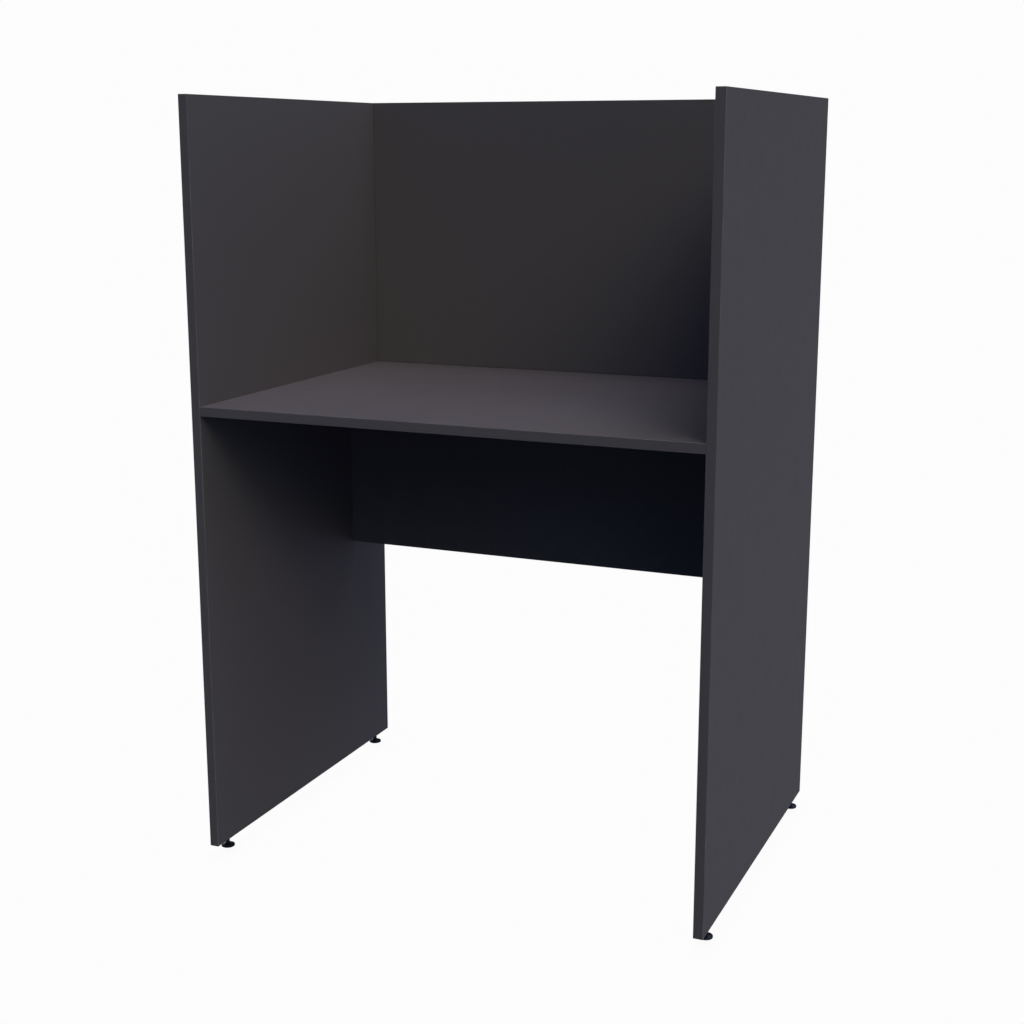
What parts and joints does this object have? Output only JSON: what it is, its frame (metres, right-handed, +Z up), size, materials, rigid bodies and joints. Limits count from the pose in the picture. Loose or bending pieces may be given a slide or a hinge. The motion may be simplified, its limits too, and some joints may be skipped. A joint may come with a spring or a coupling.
{
  "type": "study carrel",
  "caption": "Single study carrel: a worktop between full-height side panels, with a back panel above, a modesty panel below and screw-adjusted levelling feet.",
  "frame": {"origin": "on the floor, midway between the side panels and midway front to back", "axes": "+Z up, +X to the sitter's right, the open front faces -Y"},
  "size_m": [0.837, 0.6012, 1.2],
  "materials": {
    "board": "matte",
    "edge_band": "satin",
    "cap_plastic": "satin",
    "foot_plastic": "satin",
    "stud_steel": "satin",
    "insert_metal": "satin",
    "cam_metal": "satin",
    "bolt_steel": "satin",
    "dowel_wood": "matte"
  },
  "bodies": {
    "carcass": {"back_panel": "board", "back_panel_cam_bolts": "bolt_steel", "back_panel_cam_caps": "cap_plastic", "back_panel_cams": "cam_metal", "back_panel_dowels": "dowel_wood", "back_panel_top_band": "edge_band", "foot_inserts": "insert_metal", "left_side_panel": "board", "left_side_panel_bottom_band": "edge_band", "left_side_panel_front_band": "edge_band", "left_side_panel_rear_band": "edge_band", "left_side_panel_top_band": "edge_band", "modesty_panel": "board", "modesty_panel_bottom_band": "edge_band", "modesty_panel_cam_bolts": "bolt_steel", "modesty_panel_cam_caps": "cap_plastic", "modesty_panel_cams": "cam_metal", "modesty_panel_dowels": "dowel_wood", "right_side_panel": "board", "right_side_panel_bottom_band": "edge_band", "right_side_panel_front_band": "edge_band", "right_side_panel_rear_band": "edge_band", "right_side_panel_top_band": "edge_band", "worktop": "board", "worktop_cam_bolts": "bolt_steel", "worktop_cam_caps": "cap_plastic", "worktop_cams": "cam_metal", "worktop_dowels": "dowel_wood", "worktop_front_band": "edge_band", "worktop_rear_band": "edge_band"},
    "front_left_pad": {"front_left_foot_pad": "foot_plastic"},
    "front_left_stud": {"front_left_foot_stud": "stud_steel"},
    "front_right_pad": {"front_right_foot_pad": "foot_plastic"},
    "front_right_stud": {"front_right_foot_stud": "stud_steel"},
    "rear_left_pad": {"rear_left_foot_pad": "foot_plastic"},
    "rear_left_stud": {"rear_left_foot_stud": "stud_steel"},
    "rear_right_pad": {"rear_right_foot_pad": "foot_plastic"},
    "rear_right_stud": {"rear_right_foot_stud": "stud_steel"}
  },
  "joints": [
    {"name": "front_left_foot_height", "type": "slide", "parent": "carcass", "child": "front_left_pad", "axis": [0, 0, 1], "range_m": [-0.008, 0.008]},
    {"name": "front_left_foot_screw", "type": "hinge", "parent": "front_left_pad", "child": "front_left_stud", "pos_m": [-0.4075, -0.26, 0], "axis": [0, 0, 1], "range_deg": [-2880, 2880]},
    {"name": "front_right_foot_height", "type": "slide", "parent": "carcass", "child": "front_right_pad", "axis": [0, 0, 1], "range_m": [-0.008, 0.008]},
    {"name": "front_right_foot_screw", "type": "hinge", "parent": "front_right_pad", "child": "front_right_stud", "pos_m": [0.4075, -0.26, 0], "axis": [0, 0, 1], "range_deg": [-2880, 2880]},
    {"name": "rear_left_foot_height", "type": "slide", "parent": "carcass", "child": "rear_left_pad", "axis": [0, 0, 1], "range_m": [-0.008, 0.008]},
    {"name": "rear_left_foot_screw", "type": "hinge", "parent": "rear_left_pad", "child": "rear_left_stud", "pos_m": [-0.4075, 0.26, 0], "axis": [0, 0, 1], "range_deg": [-2880, 2880]},
    {"name": "rear_right_foot_height", "type": "slide", "parent": "carcass", "child": "rear_right_pad", "axis": [0, 0, 1], "range_m": [-0.008, 0.008]},
    {"name": "rear_right_foot_screw", "type": "hinge", "parent": "rear_right_pad", "child": "rear_right_stud", "pos_m": [0.4075, 0.26, 0], "axis": [0, 0, 1], "range_deg": [-2880, 2880]}
  ],
  "couplings": [
    {"joint": "front_left_foot_screw", "follows": "front_left_foot_height", "rad_per_m": 6283.2},
    {"joint": "front_right_foot_screw", "follows": "front_right_foot_height", "rad_per_m": 6283.2},
    {"joint": "rear_left_foot_screw", "follows": "rear_left_foot_height", "rad_per_m": 6283.2},
    {"joint": "rear_right_foot_screw", "follows": "rear_right_foot_height", "rad_per_m": 6283.2}
  ]
}
